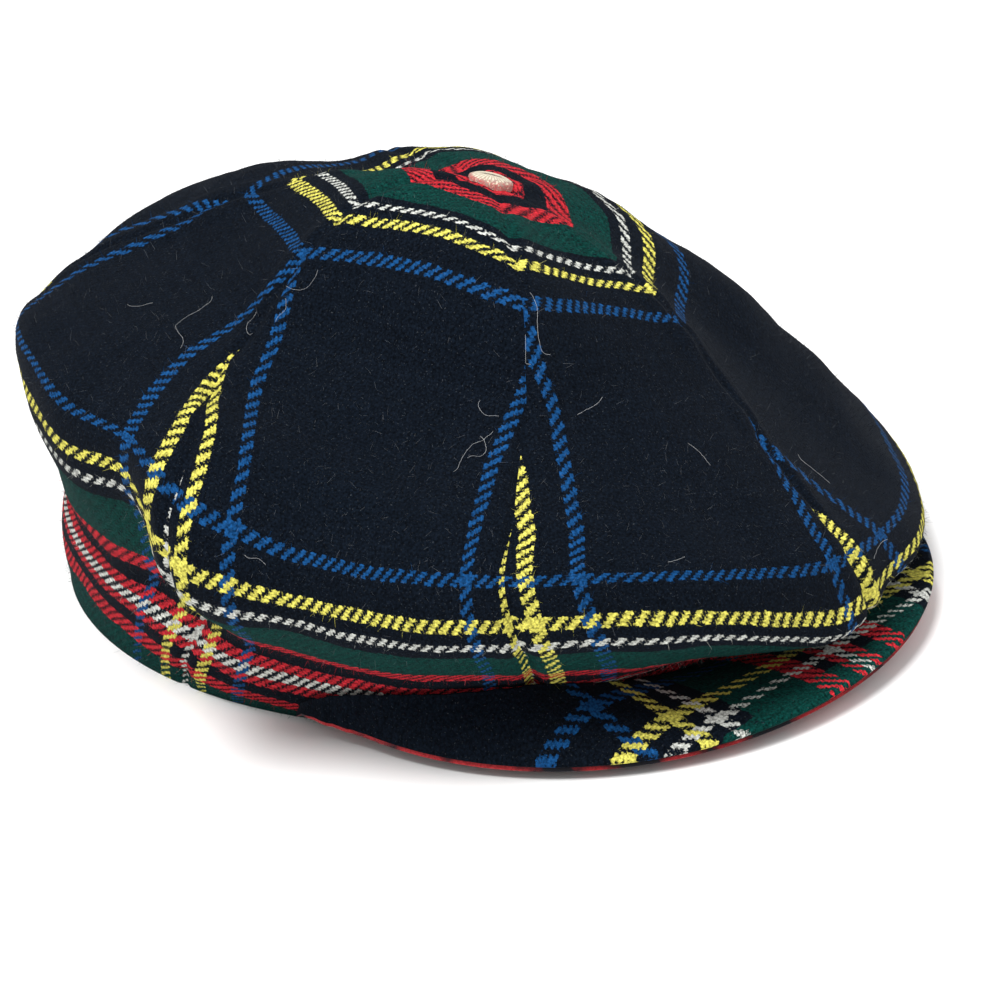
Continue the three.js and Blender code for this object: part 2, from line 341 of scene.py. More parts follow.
def cloth_point(panel, across, along):
    """A place on the finished cloth and the way out of it."""
    point = crown_point(panel, across, along)
    out = way_out(crown_point, panel, across, along)
    away = seam_distance(panel, across, along)
    near_hem = smoothstep(along, PANEL_LENGTH - HEM_EASE, PANEL_LENGTH)
    free = smoothstep(along, 0, CENTRE_EASE) * (1 - near_hem)
    deepening = SEAM_START + (1 - SEAM_START) * smoothstep(along, *SEAM_DEEPENS)
    lift = -SEAM_DEPTH * deepening * np.exp(-((away / SEAM_WIDTH) ** 2))
    allowance = smoothstep(away, *ALLOWANCE_NEAR) * (1 - smoothstep(away, *ALLOWANCE_FAR))
    lift += ALLOWANCE_RISE * allowance * free
    pucker = np.exp(-away / PUCKER_REACH) * free
    pucker_height, *pucker_waves = PUCKERS
    lift += pucker_height * pucker * waves(point, *pucker_waves)
    lift += sum(height * waves(point, *numbers) for height, *numbers in UNEVENNESS) * free
    return point + out * lift[..., None], out


# ---------------------------------------------------------------- meshes
def grid_faces(columns, rows, start=0, turned=False):
    """The quads of a grid of columns by rows whose first vertex is `start`."""
    corner = start + np.arange(rows)[:, None] * (columns + 1) + np.arange(columns)
    ring = [corner, corner + 1, corner + columns + 2, corner + columns + 1]
    quads = np.stack(ring[::-1] if turned else ring, -1)
    return quads.reshape(-1, 4)


def wall_faces(columns, rows):
    """The faces of a closed wall: an outer grid, an inner one after it, and strips that join their edges."""
    inner = (columns + 1) * (rows + 1)
    grid = np.arange(inner).reshape(rows + 1, columns + 1)
    strips = []
    for line, turned in ((grid[0], False), (grid[-1], True), (grid[:, 0], True), (grid[:, -1], False)):
        quad = np.stack([line[:-1], line[:-1] + inner, line[1:] + inner, line[1:]], -1)
        strips.append(quad[:, ::-1] if turned else quad)
    return np.vstack([grid_faces(columns, rows), grid_faces(columns, rows, inner, True), *strips])


def mesh_piece(name, points, faces, threads, material):
    """A mesh from points in millimetres about the head's centre, with each point's place in its weave."""
    mesh = bpy.data.meshes.new(name)
    mesh.from_pydata(((points + HEAD_CENTRE) * MM).tolist(), [], [list(map(int, face)) for face in faces])
    mesh.shade_smooth()
    if threads is not None:
        layer = mesh.uv_layers.new(name="threads")
        order = np.empty(len(mesh.loops), int)
        mesh.loops.foreach_get("vertex_index", order)
        layer.data.foreach_set("uv", threads[order].astype(np.float32).ravel())
    mesh.update()
    piece = bpy.data.objects.new(name, mesh)
    bpy.context.collection.objects.link(piece)
    mesh.materials.append(material)
    return piece


def panel_threads(panel, across, along):
    """A place's warp and weft threads, counted so that HALF_SETT is the middle of a white line."""
    drawn_in = CENTRE_DRAW * (1 - smoothstep(along, *CENTRE_REACH))
    weft = along / WEFT_PITCH
    below = smoothstep(along, *RIM_BAND)
    high, low = PANELS[panel][2:]
    first, second = (above + (under - above) * below for above, under in zip(high, low))
    warp = across * np.interp(weft, PANEL_CUT[:, 0], PANEL_CUT[:, 1])
    warp = warp + (second - first) / 2 + across * (second + first) / 2
    warp = warp + GROUND_LOSS * np.clip(warp / GROUND_REACH, -1, 1)
    return np.stack([warp, weft - drawn_in + HALF_SETT], -1)


def crown_panel(panel, material):
    """A panel's wall, with closer columns beside its seams."""
    u = np.sin(np.linspace(-1, 1, COLUMNS + 1) * math.pi / 2)
    v = np.linspace(CLOTH_START, PANEL_LENGTH, ROWS + 1)
    along, across = np.meshgrid(v, u, indexing="ij")
    outer, out = cloth_point(panel, across, along)
    outer[..., 2] = np.maximum(outer[..., 2], 0)  # the hem rests on the floor and doesn't go into it
    out = np.where(along[..., None] >= PANEL_LENGTH, unit(out * (1, 1, 0)), out)
    inner = outer - out * CLOTH
    inner[..., 2] = np.maximum(inner[..., 2], 0)
    threads = panel_threads(panel, across, along).reshape(-1, 2)
    points = np.vstack([outer.reshape(-1, 3), inner.reshape(-1, 3)])
    both = np.vstack([threads, threads])
    return mesh_piece(panel + "_cloth", points, wall_faces(COLUMNS, ROWS), both, material)


def fibre_strips(roots, ways, outs, lengths, width, rng):
    """Points of short curved fibres, each a strip of two quads from its root along its way."""
    side = unit(np.cross(ways, outs)) * width
    sag = rng.uniform(*FIBRE_SAG, len(roots))[:, None]
    middle = roots + (ways + outs * sag) * lengths[:, None] * 0.5
    tip = roots + (ways + outs * (sag * FIBRE_TIP_SAG)) * lengths[:, None]
    end = side * FIBRE_TIP
    stations = [roots - side, roots + side, middle - side, middle + side, tip - end, tip + end]
    return np.stack(stations, 1).reshape(-1, 3)


def fibre_faces(count):
    """The two quads of each fibre's six points."""
    first = np.arange(count)[:, None] * 6
    return np.vstack([first + np.array([0, 1, 3, 2]), first + np.array([2, 3, 5, 4])])


def panel_nap(panel, material, seed):
    """The wool's nap on a panel: short fibres that take the colour of the thread they stand on."""
    rng = np.random.default_rng(seed)
    along = PANEL_LENGTH * np.sqrt(rng.uniform(0.001, 0.995, NAP_FIBRES))
    spread = rng.uniform(NAP_EVEN_START, PANEL_LENGTH - 1, NAP_FIBRES)
    along = np.where(along > NAP_EVEN, spread, along)
    across = rng.uniform(-NAP_ACROSS, NAP_ACROSS, NAP_FIBRES)
    roots, outs = cloth_point(panel, across, along)
    ways = unit(rng.normal(size=roots.shape))
    ways = unit(ways + outs * rng.uniform(*NAP_LEAN, NAP_FIBRES)[:, None])
    # A fibre that would lie in the cloth, or under it, is lifted.
    sunk = np.sum(ways * outs, -1, keepdims=True) < 0.05
    ways = np.where(sunk, unit(ways + outs * 0.6), ways)
    lengths = rng.uniform(*NAP_LENGTHS, NAP_FIBRES)
    points = fibre_strips(roots, ways, outs, lengths, FIBRE_HALF_WIDTH, rng)
    points[:, 2] = np.maximum(points[:, 2], FIBRE_FLOOR)
    threads = np.repeat(panel_threads(panel, across, along), 6, axis=0)
    return mesh_piece(panel + "_nap", points, fibre_faces(NAP_FIBRES), threads, material)


# ---------------------------------------------------------------- the peak
def crown_at(turn, along):
    """The crown's outer face in a direction given in degrees from the front."""
    for panel, (start_seam, end_seam, *_) in PANELS.items():
        start = seam_angle(start_seam, along)
        width = (seam_angle(end_seam, along) - start) % 360
        into = (turn - start) % 360
        if into <= width:
            across = np.array(2 * into / width - 1)
            return crown_point(panel, across, np.array(float(along)))
    raise ValueError(turn)


def peak_arch(side):
    """How far the peak's hem side arches up, `side` of the way from the front to the wearer's right end."""
    return float(PEAK_ARCH * smoothstep(side, ARCH_FOOT, ARCH_TOP) * math.sqrt(max(0, 1 - side**8)))


def peak_rib(side):
    """Where the peak meets the hem in one direction, its way out, and how far in and out it goes."""
    turn = PEAK_HALF_ANGLE * side
    hem = crown_at(turn, PANEL_LENGTH)
    lean = math.radians(turn) * PEAK_LEAN
    way = np.array([-math.sin(lean), -math.cos(lean), 0])
    arch = peak_arch(side)
    seat = 0.0
    for along in range(PANEL_LENGTH, RIM, -1):
        point = crown_at(turn, along)
        if point[2] < PEAK_SEAT_HEIGHT + arch + PEAK_COVER + SEAM_GAP:
            seat = max(seat, float((point - hem) @ way))
    seat += SEAM_GAP + ARCH_EASE * arch / PEAK_ARCH
    fade = max(0, 1 - abs(side) ** PEAK_BLUNTNESS) ** PEAK_TAPER
    reach = PEAK_END + (PEAK_REACH - PEAK_END) * fade
    return hem, way, seat, max(reach, seat + PEAK_END), fade


def peak_layer(name, top, bottom, inset, material, columns=160, rows=44):
    """One layer of the peak between two heights, with rounded outer edges."""
    sides = np.linspace(-1, 1, columns + 1)
    ribs = [peak_rib(side) for side in sides]
    faces_at = []
    for height, sign in ((top, 1), (bottom, -1)):
        lines = []
        for out in np.linspace(0, 1, rows + 1):
            for side, (hem, way, seat, reach, fade) in zip(sides, ribs):
                swell = PEAK_CAMBER * math.sin(math.pi * out) * (1 - side**2)
                distance = seat + (reach - inset - seat) * out
                to_edge = min(max(reach - inset - distance, 0), EDGE_WIDTH) / EDGE_WIDTH
                round_off = (1 - math.sqrt(1 - (1 - to_edge) ** 2)) * (top - bottom) * EDGE_ROUNDING
                tilt = (PEAK_RISE - PEAK_ROLL * side) * fade * out
                arch = peak_arch(side) * (1 - out * fade**0.5) ** ARCH_FALL
                thick = PEAK_TIP + (1 - PEAK_TIP) * fade**0.5
                rise = PEAK_SEAT_HEIGHT + tilt + swell + arch + (height - sign * round_off) * thick
                lines.append((hem + way * distance) * (1, 1, 0) + (0, 0, rise))
        faces_at.append(np.array(lines))
    points = np.vstack(faces_at)
    warp = np.interp(points[:, 0], PEAK_WARP[:, 0], PEAK_WARP[:, 1])
    threads = np.stack([warp, (PEAK_BLACK - points[:, 1]) / WARP_PITCH], -1)
    return mesh_piece(name, points, wall_faces(columns, rows), threads, material)


# ---------------------------------------------------------------- materials
# Noise scales are for places in metres, and shares and tones are factors.
WOOL_ROUGHNESS = 0.95
THREAD_WANDER = ((90.0, 1.6), (1300.0, 1.5))  # scale of a noise, and how many threads it shifts by
FUZZ_LEAD = 0.9  # how far the fuzz blurs the border between two threads
SPREAD_LEAD = 2.4  # how much a dye that spreads widens its threads
LEAD_BLEND = 0.35  # how far either side of even the two dyes blend
THREAD_TONES = (0.85, 1.15)
MOTTLE_TONES = (0.4, 1.6)
# painted shade in the hollows between threads, and a little painted light on their tops
HOLLOW_SHADE_TONES = (0.45, 1.08)
SPECK = (0.11, 0.12, 0.13, 1)
SPECK_SHARE = 0.35
PALE_FIBRE = (0.45, 0.47, 0.5, 1)
PALE_FIBRES = 0.08  # share of the nap's fibres that are pale
PALE_SHARE = 0.25
LINT = (0.6, 0.58, 0.52, 1)
LINT_CELLS = 0.02  # share of the noise's cells that hold a speck of lint
LINT_RADIUS = 0.035  # in cells
TWILL_RELIEF = 0.45
FUZZ_RELIEF = 1.4
TWILL_BUMP = 0.2
WOOL_BUMP = 0.12
DARK_PATCH_RANGE = (0.46, 0.56)  # the range of the noise in which the second colour comes up
RED = (0.36, 0.02, 0.025, 1)
# near-black patches that break the peak's red under edge into dashes
RED_DARK_PATCHES = (0.012, 0.012, 0.016, 1)
HAIR_COLOUR = (0.40, 0.41, 0.42, 1)
TWILL_ROUND = 0.6  # how round a thread is across, against its arch along


class Material:
    """A node material that is written as formulas: each call adds a node and gives back its first output."""

    def __init__(self, name):
        self.material = bpy.data.materials.new(name)
        self.material.use_nodes = True
        self.tree = self.material.node_tree
        self.shader = self.tree.nodes["Principled BSDF"]

    def node(self, kind, settings=None, **inputs):
        """A new node of this kind, with its settings and inputs given."""
        node = self.tree.nodes.new("ShaderNode" + kind)
        for name, value in (settings or {}).items():
            setattr(node, name, value)
        for name, value in inputs.items():
            self.put(node.inputs[name.replace("_", " ")], value)
        return node

    def put(self, socket, value):
        """Links a socket to another, or gives it a constant value."""
        if isinstance(value, bpy.types.NodeSocket):
            self.tree.links.new(value, socket)
        else:
            socket.default_value = value

    def math(self, operation, *values):
        node = self.tree.nodes.new("ShaderNodeMath")
        node.operation = operation
        for socket, value in zip(node.inputs, values):
            self.put(socket, value)
        return node.outputs[0]

    def mix(self, share, first, second, blend="MIX"):
        node = self.tree.nodes.new("ShaderNodeMix")
        node.data_type = "RGBA"
        node.blend_type = blend
        for name, value in (("Factor_Float", share), ("A_Color", first), ("B_Color", second)):
            socket = next(s for s in node.inputs if s.identifier == name)
            self.put(socket, value)
        return next(s for s in node.outputs if s.identifier == "Result_Color")

    def noise(self, scale, detail, where):
        return self.node("TexNoise", Vector=where, Scale=scale, Detail=detail).outputs[0]

    def fit(self, value, low, high, to_low=0.0, to_high=1.0):
        """A value moved from one range to another, and kept inside it."""
        node = self.node("MapRange", {"clamp": True})
        for socket, given in zip(node.inputs, (value, low, high, to_low, to_high)):
            self.put(socket, given)
        return node.outputs[0]

    def set(self, **values):
        """Sets or links the shader's own inputs."""
        for name, value in values.items():
            self.put(self.shader.inputs[name.replace("_", " ")], value)


def yarn_colour(cloth, thread):
    """A thread's dye and how far it spreads, counted so that HALF_SETT is the middle of a white line."""
    folded = cloth.math("PINGPONG", cloth.math("ADD", thread, 0.5), HALF_SETT)
    place = cloth.math("DIVIDE", folded, HALF_SETT)
    ramp = cloth.node("ValToRGB", Fac=place)
    ramp.color_ramp.interpolation = "CONSTANT"
    stops = ramp.color_ramp.elements
    count = 0
    for number, (threads, dye) in enumerate(SETT):
        stop = stops[number] if number < 2 else stops.new(count / HALF_SETT)
        stop.position = count / HALF_SETT
        stop.color = DYES[dye]
        count += threads
    return ramp.outputs


def yarn_heights(cloth, warp, weft):
    """How high the warp and the weft stand in two-and-two twill, where each thread floats over two and dips
    under two, one step along from its neighbour."""

    def crown_of(place):
        off = cloth.math("MULTIPLY_ADD", cloth.math("FRACT", place), 2.0, -1.0)
        return cloth.math("SUBTRACT", 1.0, cloth.math("MULTIPLY", off, off))

    def arch_of(place, other, start):
        from_start = cloth.math("SUBTRACT", cloth.math("SUBTRACT", place, cloth.math("FLOOR", other)), start)
        along = cloth.math("FRACT", cloth.math("DIVIDE", from_start, 4.0))
        off = cloth.math("MULTIPLY_ADD", along, 4.0, -1.0)
        return cloth.math("MAXIMUM", cloth.math("SUBTRACT", 1.0, cloth.math("MULTIPLY", off, off)), -1.0)

    warp_height = cloth.math("MULTIPLY_ADD", crown_of(warp), TWILL_ROUND, arch_of(weft, warp, -1.0))
    weft_height = cloth.math("MULTIPLY_ADD", crown_of(weft), TWILL_ROUND, arch_of(warp, weft, 2.0))
    return warp_height, weft_height


def grey(cloth, value):
    """A grey of this value."""
    return cloth.node("CombineColor", Red=value, Green=value, Blue=value).outputs[0]


def wandering_threads(cloth, uv, position):
    """The warp's and the weft's places in threads, shifted by a slow noise and a fine one."""
    split = cloth.node("SeparateXYZ", Vector=uv)
    shifts = []
    for scale, reach in THREAD_WANDER:
        noises = cloth.node("TexNoise", Vector=position, Scale=scale)
        shifts.append((cloth.node("SeparateColor", Color=noises.outputs["Color"]), reach))
    places = []
    for number in (0, 1):
        place = split.outputs[number]
        for noise, reach in shifts:
            place = cloth.math("MULTIPLY_ADD", noise.outputs[number], reach, place)
        places.append(place)
    return places


def upper_yarn(cloth, warp, weft, heights, fuzz):
    """The dye of whichever thread lies on top: between two threads, a dye that spreads takes more fibres."""
    warp_dye, warp_spread = yarn_colour(cloth, warp)
    weft_dye, weft_spread = yarn_colour(cloth, weft)
    lead = cloth.math("SUBTRACT", *heights)
    lead = cloth.math("ADD", lead, cloth.fit(fuzz, 0.25, 0.75, -FUZZ_LEAD, FUZZ_LEAD))
    bias = cloth.math("SUBTRACT", warp_spread, weft_spread)
    lead = cloth.math("MULTIPLY_ADD", bias, SPREAD_LEAD, lead)
    return cloth.mix(cloth.fit(lead, -LEAD_BLEND, LEAD_BLEND), weft_dye, warp_dye)


def yarn_shade(cloth, warp, weft, height, position):
    """How light the cloth is: no two threads are alike, the fibres are mottled, and painted shade darkens
    the hollows between threads, with a little painted light on their tops.
    """
    tones = []
    for thread in (warp, weft):
        tones.append(cloth.node("TexWhiteNoise", {"noise_dimensions": "1D"}, W=thread).outputs[0])
    tone = cloth.fit(cloth.math("ADD", *tones), 0.0, 2.0, *THREAD_TONES)
    mottle = cloth.fit(cloth.noise(1500.0, 6.0, position), 0.3, 0.7, *MOTTLE_TONES)
    # painted shade: the low places between the threads darken, and the threads' tops lighten a little
    hollow = cloth.fit(height, 0.1, 1.2, *HOLLOW_SHADE_TONES)
    return cloth.math("MULTIPLY", cloth.math("MULTIPLY", tone, mottle), hollow)


def pale_fibres(cloth, colour, uv):
    """The nap's colour, with some of its fibres pale."""
    chance = cloth.node("TexWhiteNoise", {"noise_dimensions": "3D"}, Vector=uv).outputs[0]
    chosen = cloth.math("GREATER_THAN", chance, 1.0 - PALE_FIBRES)
    return cloth.mix(cloth.math("MULTIPLY", chosen, PALE_SHARE), colour, PALE_FIBRE)


def lint(cloth, colour, position):
    """The cloth's colour, with a few specks of pale lint."""
    cell = cloth.node("TexVoronoi", Vector=position, Scale=130.0)
    chosen = cloth.node("SeparateColor", Color=cell.outputs["Color"]).outputs[0]
    near_middle = cloth.math("LESS_THAN", cell.outputs["Distance"], LINT_RADIUS)
    speck = cloth.math("MULTIPLY", near_middle, cloth.math("LESS_THAN", chosen, LINT_CELLS))
    return cloth.mix(speck, colour, LINT)


def tartan(name, nap=False):
    """Fulled two-and-two twill in the sett's colours, or the nap that stands on it."""
    cloth = Material(name)
    uv = cloth.node("UVMap", {"uv_map": "threads"}).outputs[0]
    position = cloth.node("TexCoord").outputs["Object"]
    warp, weft = wandering_threads(cloth, uv, position)
    warp_number = cloth.math("FLOOR", warp)
    weft_number = cloth.math("FLOOR", weft)
    heights = yarn_heights(cloth, warp, weft)
    height = cloth.math("MAXIMUM", *heights)
    fuzz = cloth.noise(2200.0, 5.0, position)
    colour = upper_yarn(cloth, warp_number, weft_number, heights, fuzz)
    shade = yarn_shade(cloth, warp_number, weft_number, height, position)
    # the dye times the threads' tones, the mottle and the painted shade in the hollows
    colour = cloth.mix(1.0, colour, grey(cloth, shade), "MULTIPLY")
    speck = cloth.math("MULTIPLY", cloth.fit(cloth.noise(2400.0, 1.0, position), 0.68, 0.8), SPECK_SHARE)
    colour = cloth.mix(speck, colour, SPECK)
    if nap:
        colour = pale_fibres(cloth, colour, uv)
    else:
        colour = lint(cloth, colour, position)
        relief = cloth.math("MULTIPLY_ADD", height, TWILL_RELIEF, cloth.math("MULTIPLY", fuzz, FUZZ_RELIEF))
        bump = cloth.node("Bump", Strength=0.7, Distance=TWILL_BUMP * MM, Height=relief)
        cloth.set(Normal=bump.outputs[0])
    cloth.set(Base_Color=colour, Roughness=WOOL_ROUGHNESS, Specular_IOR_Level=0.025)
    cloth.set(Sheen_Weight=0.012, Sheen_Roughness=0.5, Sheen_Tint=(0.75, 0.82, 0.95, 1))
    return cloth.material


def plain_wool(name, colour, patch_colour=None):
    """Fulled wool of one dye, mottled and softly rough, with patches of a second colour where one is given.
    """
    cloth = Material(name)
    position = cloth.node("TexCoord").outputs["Object"]
    fuzz = cloth.noise(1800.0, 5.0, position)
    dark = tuple(c * 0.55 for c in colour[:3]) + (1,)
    light = tuple(min(1, c * 1.25 + 0.01) for c in colour[:3]) + (1,)
    shade = cloth.mix(cloth.fit(fuzz, 0.3, 0.7), dark, light)
    if patch_colour:
        # patches of the second colour come up where a slow noise is in its range
        patch = cloth.fit(cloth.noise(70.0, 4.0, position), *DARK_PATCH_RANGE)
        shade = cloth.mix(patch, shade, patch_colour)
    bump = cloth.node("Bump", Strength=0.7, Distance=WOOL_BUMP * MM, Height=fuzz)
    cloth.set(Base_Color=shade, Roughness=WOOL_ROUGHNESS, Specular_IOR_Level=0.15, Normal=bump.outputs[0])
    cloth.set(Sheen_Weight=0.15, Sheen_Roughness=0.5)
    return cloth.material


# ---------------------------------------------------------------- the button
BUTTON_HOLE = 4.0  # where the part's panels start along the cloth, round the button's shank
BUTTON_RADIUS = 6.0
BUTTON_HEIGHT = 2.0
BUTTON_SKIRT = 1.9  # how far its gathered edge reaches down between the panels' tips
BUTTON_SINK = 0.5  # how far it is pulled down between the tips
SLIT_WAY = np.array([0.57, -0.75, -0.34])  # the way that the slit in its cover runs
SLIT_HALF = (0.52, 0.16)  # half the slit's length and width, as shares of the button's radius
SLIT_DEPTH = 0.7
RIBS = 30  # turns of yarn that show round it
RIB_HEIGHT = 0.07
DOME_END = 0.78  # share of the rings that make the dome; the others make the skirt
DOME_SHARE = 0.75  # the dome's height, as a share of the part's button
COVER_SHARE = 0.93  # the cover's radius, as a share of the part's button
GATHERS = (0.02, 11)  # how deep the gathers at its edge are, and how many
UNEVEN_ROUND = (0.015, 4)  # how far it is from round, and in how many waves
BUTTON_BUMP = 0.15
GROOVE_SHADE_AND_CREAM = ((0.30, 0.25, 0.18, 1), (0.66, 0.60, 0.48, 1))  # painted shade in the groove between two turns of the yarn, and the cream on a turn
CREAM_WORN = (0.42, 0.36, 0.28, 1)
EDGE_REDS = ((0.42, 0.02, 0.03, 1), (0.30, 0.20, 0.17, 1))
SLIT_DARK = (0.05, 0.045, 0.035, 1)


def button_seat():
    """The button's axis and the middle of its underside, as in the part's source."""
    centre = np.array([*SECTIONS[0, 1:3], SECTIONS[0, 5]])
    hole = np.array(BUTTON_HOLE)
    places = [(panel, np.array(across)) for panel in PANELS for across in (-1.0, 0.0)]
    axis = unit(sum(way_out(plain_point, panel, across, hole) for panel, across in places))
    rim = max(float((crown_point(panel, across, hole) - centre) @ axis) for panel, across in places)
    return centre + axis * (rim + SEAM_GAP), axis


def covered_button(material, rings=26, sides=96):
    """The covered button: a low dome with a rolled rim and a slit, whose cloth is gathered down its edge."""
    seat, axis = button_seat()
    side = unit(SLIT_WAY - axis * (SLIT_WAY @ axis))
    ahead = np.cross(axis, side)
    points, places = [], []
    for ring in range(rings + 1):
        share = ring / rings
        radius = min(1.0, share / DOME_END)
        drop = max(0.0, (share - DOME_END) / (1 - DOME_END))
        dome = BUTTON_HEIGHT * DOME_SHARE * (1 - radius**2.4) ** 0.7
        height = dome * (1 - drop) - BUTTON_SINK - BUTTON_SKIRT * drop
        for turn in np.arange(sides if ring else 1) * 2 * math.pi / sides:
            gather = 1 + GATHERS[0] * share**3 * math.sin(GATHERS[1] * turn)
            gather += UNEVEN_ROUND[0] * share * math.sin(UNEVEN_ROUND[1] * turn + 1)
            along, across = radius * math.cos(turn), radius * math.sin(turn)
            hollow = math.exp(-(((along / SLIT_HALF[0]) ** 2 + (across / SLIT_HALF[1]) ** 2) ** 1.5))
            rib = RIB_HEIGHT * math.sin(RIBS * turn) * radius**2
            way = side * along + ahead * across
            rise = height + rib - SLIT_DEPTH * hollow
            points.append(seat + way * BUTTON_RADIUS * COVER_SHARE * gather + axis * rise)
            places.append((along, across))
    faces = ring_faces(rings, sides)
    return mesh_piece("button_cover", np.array(points), faces, np.array(places), material)


def ring_faces(rings, sides):
    """The faces of rings of points round one middle point, the last ring closed by one face."""
    faces = [(0, 1 + turn, 1 + (turn + 1) % sides) for turn in range(sides)]
    for ring in range(rings - 1):
        for turn in range(sides):
            here = 1 + ring * sides + turn
            after = 1 + ring * sides + (turn + 1) % sides
            faces.append((here, here + sides, after + sides, after))
    last = 1 + (rings - 1) * sides
    faces.append(tuple(last + turn for turn in range(sides))[::-1])
    return faces


def button_wool(name):
    """Cream wool wound round the button, with painted shade between its turns, red toward its edge and dark
    in its slit.
    """
    cloth = Material(name)
    uv = cloth.node("UVMap", {"uv_map": "threads"}).outputs[0]
    along, across = cloth.node("SeparateXYZ", Vector=uv).outputs[:2]
    position = cloth.node("TexCoord").outputs["Object"]
    along_share = cloth.math("POWER", cloth.math("DIVIDE", along, SLIT_HALF[0]), 2.0)
    across_share = cloth.math("POWER", cloth.math("DIVIDE", across, SLIT_HALF[1]), 2.0)
    fuzz = cloth.noise(1500.0, 5.0, position)
    ragged = cloth.fit(fuzz, 0.3, 0.7, -0.25, 0.25)
    slit = cloth.fit(cloth.math("ADD", cloth.math("ADD", along_share, across_share), ragged), 0.8, 1.3)
    squares = cloth.math("ADD", cloth.math("POWER", along, 2.0), cloth.math("POWER", across, 2.0))
    radius = cloth.math("SQRT", squares)
    edge = cloth.fit(cloth.math("ADD", radius, ragged), 0.82, 0.95)
    turn = cloth.math("ARCTAN2", across, along)
    groove_shading = cloth.math("SINE", cloth.math("MULTIPLY", turn, float(RIBS)))
    # painted shade darkens the cream between the yarn's turns
    cream = cloth.mix(cloth.fit(groove_shading, -1.0, 1.0), *GROOVE_SHADE_AND_CREAM)
    cream = cloth.mix(cloth.fit(fuzz, 0.35, 0.75), cream, CREAM_WORN)
    red = cloth.mix(cloth.fit(fuzz, 0.4, 0.6), *EDGE_REDS)
    shade = cloth.mix(slit, SLIT_DARK, cloth.mix(edge, cream, red))
    bump = cloth.node("Bump", Strength=0.8, Distance=BUTTON_BUMP * MM, Height=fuzz)
    cloth.set(Base_Color=shade, Roughness=WOOL_ROUGHNESS, Specular_IOR_Level=0.1, Normal=bump.outputs[0])
    cloth.set(Sheen_Weight=0.05, Sheen_Roughness=0.5)
    return cloth.material


# ---------------------------------------------------------------- stray hairs
HAIRS = (
    # panel, across, along, length (mm), heading (degrees), curl
    ("panel_right_back", -0.35, 90, 26, 160, 0.16),
    ("panel_right_back", -0.10, 102, 9, 40, 0.25),
    ("panel_right_back", -0.93, 84, 12, 100, 0.45),
    ("panel_right_front", 0.95, 74, 14, 200, 0.40),
    ("panel_right_front", 0.85, 86, 9, 300, 0.30),
    ("panel_right_front", -0.68, 108, 13, 250, 0.22),
    ("panel_right_front", -0.82, 97, 20, 80, 0.20),
    ("panel_right_front", -0.72, 89, 10, 20, 0.35),
    ("panel_right_front", 0.58, 153, 8, 140, 0.30),
    ("panel_front", 0.95, 76, 9, 330, 0.25),
    ("panel_front", 0.80, 74, 18, 10, 0.18),
    ("panel_front", 0.40, 86, 12, 60, 0.25),
    ("panel_front", -0.22, 101, 9, 110, 0.20),
    ("panel_front", 0.10, 140, 7, 15, 0.25),
    ("panel_left_front", 0.70, 110, 12, 75, 0.28),
    ("panel_left_front", 0.90, 154, 11, 200, 0.06),
    ("panel_back", 0.20, 110, 12, 40, 0.25),
    ("panel_left_back", 0.10, 90, 14, 120, 0.22),
)
HAIR_SEED = 3
HAIR_RADIUS = 0.033
HAIR_STEP = 0.6
HAIR_WANDER = 0.16  # radians a step
HAIR_CURL = 0.6  # radians a step, for a curl of 1
HAIR_LIFT = (0.25, 0.5)  # how far from the cloth at least, and how much farther at most


def stray_hair(panel, across, along, length, heading, curl, rng):
    """The points of one hair that wanders over a panel, a little above its cloth."""
    steps = int(length / HAIR_STEP)
    bends = rng.normal(0, HAIR_WANDER, steps) + HAIR_CURL * curl * np.sin(np.arange(steps) / 5 + heading)
    turns = math.radians(heading) + np.cumsum(bends)
    half_width = float(np.interp(along / WEFT_PITCH, PANEL_CUT[:, 0], PANEL_CUT[:, 1])) * WARP_PITCH
    places = np.clip(across + np.cumsum(np.cos(turns)) * HAIR_STEP / half_width, -1, 1)
    roots, outs = cloth_point(panel, places, along + np.cumsum(np.sin(turns)) * HAIR_STEP)
    lift = HAIR_LIFT[0] + HAIR_LIFT[1] * np.abs(np.sin(np.arange(steps) / 6 + heading))
    return roots + outs * lift[:, None], outs


def stray_hairs(material, sides=4):
    """All the stray hairs, as thin closed tubes in one piece."""
    rng = np.random.default_rng(HAIR_SEED)
    points, faces = [], []
    for row in HAIRS:
        path, outs = stray_hair(*row, rng)
        ahead = unit(np.gradient(path, axis=0))
        across = unit(np.cross(ahead, outs))
        above = np.cross(across, ahead)
        for turn in np.arange(sides) * 2 * math.pi / sides:
            points.append(path + (across * math.cos(turn) + above * math.sin(turn)) * HAIR_RADIUS)
        first = sum(len(line) for line in points[:-sides])
        count = len(path)
        for turn in range(sides):
            here = first + turn * count
            after = first + (turn + 1) % sides * count
            faces += [(here + i, here + i + 1, after + i + 1, after + i) for i in range(count - 1)]
        faces.append(tuple(first + turn * count for turn in range(sides)))
        faces.append(tuple(first + turn * count + count - 1 for turn in range(sides))[::-1])
    return mesh_piece("stray_hairs", np.vstack(points), faces, None, material)


# ---------------------------------------------------------------- camera, lights and floor
VIEW_RIGHT = math.radians(43)
VIEW_ABOVE = math.radians(26)
VIEW_ROLL = math.radians(-5)
VIEW_DISTANCE = 1.3  # metres from where it looks
LENS = 177.8
SENSOR = 36
FAR_END = 20  # metres
AIM = (20.8, 12.9)  # where the camera looks, right of and above the head opening's centre in the picture

# The lamps: name, place and size in metres, watts.
LAMPS = (
    ("key", (-1.0, -0.35, 2.3), 1.0, 78),
    ("fill", (1.2, -1.8, 1.6), 1.5, 10),
)
SKY = 0.78
FLOOR_HALF = 6.0  # metres
FLOOR_PAINT = (0.86, 0.86, 0.855, 1)


